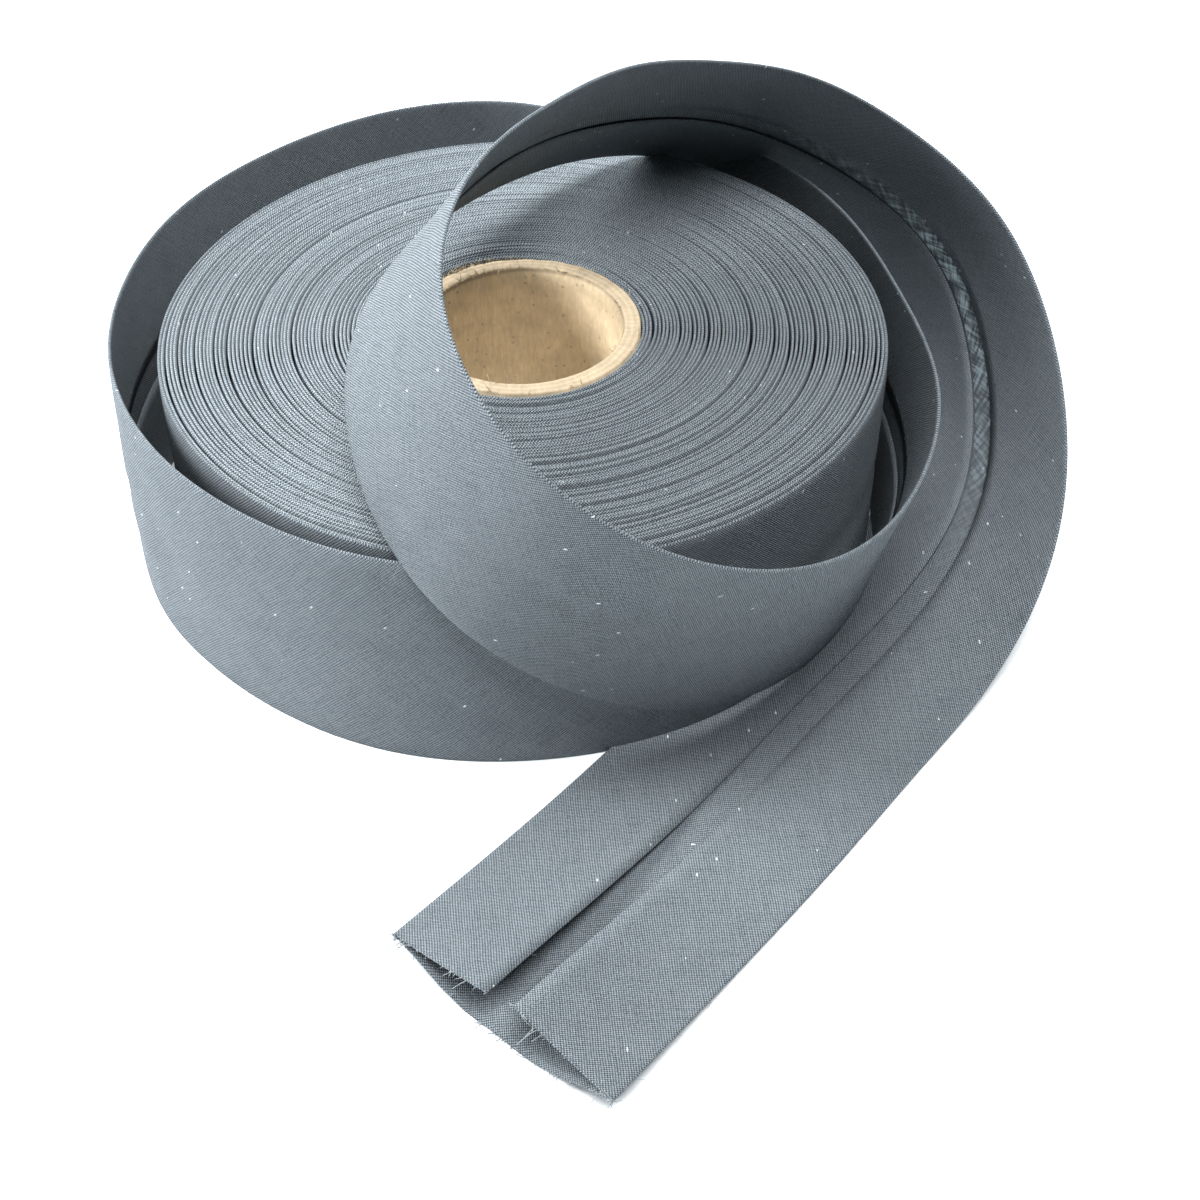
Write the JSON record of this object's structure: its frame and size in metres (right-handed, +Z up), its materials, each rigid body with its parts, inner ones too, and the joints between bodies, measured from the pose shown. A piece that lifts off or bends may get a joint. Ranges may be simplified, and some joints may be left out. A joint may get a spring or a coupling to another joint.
{
  "type": "roll of bias binding",
  "caption": "Roll of folded fabric bias binding on a cardboard tube, standing flat, its last turn loose, arched over the roll and laid out flat at the front.",
  "frame": {"origin": "centre of the whole footprint, loose end included, at the level of the table", "axes": "+Z up along the roll's axis, -Y towards the side where the cut end lies, +X to the right of it, where the arch comes down"},
  "size_m": [0.1576, 0.1974, 0.0872],
  "materials": {
    "bias_cloth": "matt plain-weave cotton, slate grey, cut on the bias",
    "kraft_board": "matt, plain kraft paper wound in a spiral"
  },
  "bodies": {
    "root": {"core": "kraft_board", "wound_roll": "bias_cloth", "loose_end": "bias_cloth"}
  },
  "joints": []
}
